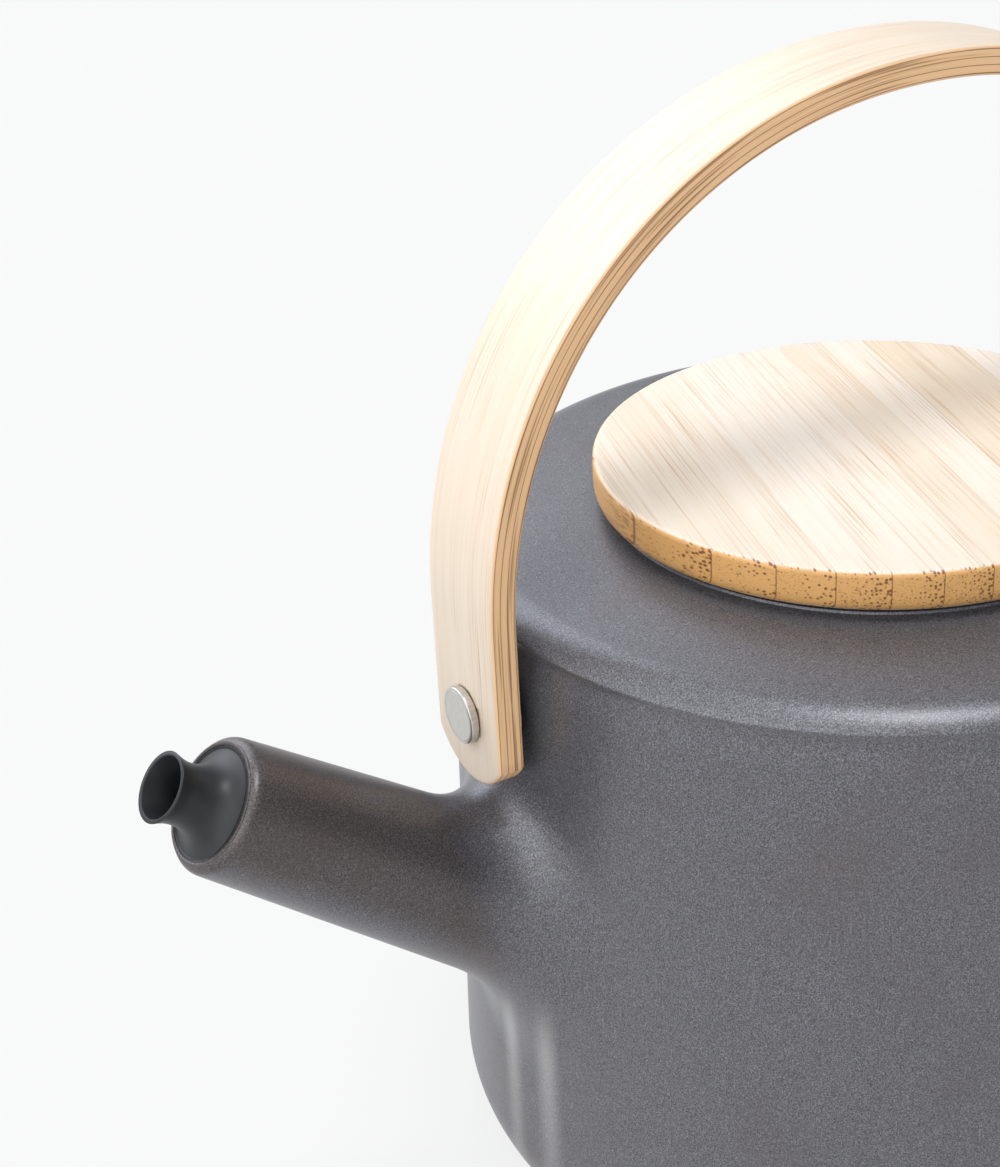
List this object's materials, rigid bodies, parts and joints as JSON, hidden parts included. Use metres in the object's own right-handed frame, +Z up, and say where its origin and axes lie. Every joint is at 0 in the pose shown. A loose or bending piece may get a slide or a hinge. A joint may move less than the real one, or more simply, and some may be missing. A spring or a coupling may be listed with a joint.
{
  "type": "teapot",
  "caption": "Drum-shaped teapot with a straight rising spout and rubber pouring tip, a swinging bent-strip bail handle, a flat wooden lid and a lift-out infuser.",
  "frame": {"origin": "centre of the flat base on the pot's axis", "axes": "+Z up along the pot's axis, -X towards the spout, Y across the handle's plane"},
  "size_m": [0.2141, 0.1488, 0.1989],
  "materials": {
    "pot_grey": "matte fine-speckled coating",
    "tip_rubber": "satin",
    "handle_bamboo": "satin, laminated",
    "lid_bamboo": "satin, laminated",
    "plug_bamboo": "satin",
    "fixing_steel": "brushed",
    "infuser_steel": "satin",
    "seal_silicone": "matte silicone"
  },
  "bodies": {
    "pot": {"pot_body": "pot_grey", "spout_tube": "pot_grey", "handle_screw_spout_side": "fixing_steel", "handle_spacer_spout_side": "fixing_steel", "pivot_seal_spout_side": "seal_silicone", "pivot_washer_spout_side": "fixing_steel", "pivot_nut_spout_side": "fixing_steel", "handle_screw_rear_side": "fixing_steel", "handle_spacer_rear_side": "fixing_steel", "pivot_seal_rear_side": "seal_silicone", "pivot_washer_rear_side": "fixing_steel", "pivot_nut_rear_side": "fixing_steel"},
    "handle": {"handle_bail": "handle_bamboo", "handle_sleeve_spout_side": "fixing_steel", "handle_sleeve_rear_side": "fixing_steel"},
    "infuser": {"infuser_rim": "fixing_steel", "infuser_wall": "infuser_steel", "infuser_floor": "infuser_steel"},
    "lid": {"lid_disc": "lid_bamboo", "lid_plug": "plug_bamboo", "lid_seal": "seal_silicone"},
    "tip": {"spout_tip": "tip_rubber"}
  },
  "joints": [
    {"name": "handle_swing", "type": "hinge", "parent": "pot", "child": "handle", "pos_m": [0, 0, 0.1056], "axis": [1, 0, 0], "range_deg": [-90, 90]},
    {"name": "infuser_lift", "type": "slide", "parent": "pot", "child": "infuser", "axis": [0, 0, 1], "range_m": [0, 0.02]},
    {"name": "lid_lift", "type": "slide", "parent": "infuser", "child": "lid", "axis": [0, 0, 1], "range_m": [0, 0.024]},
    {"name": "tip_pull", "type": "slide", "parent": "pot", "child": "tip", "axis": [-0.7976, 0, 0.6032], "range_m": [0, 0.013]}
  ]
}
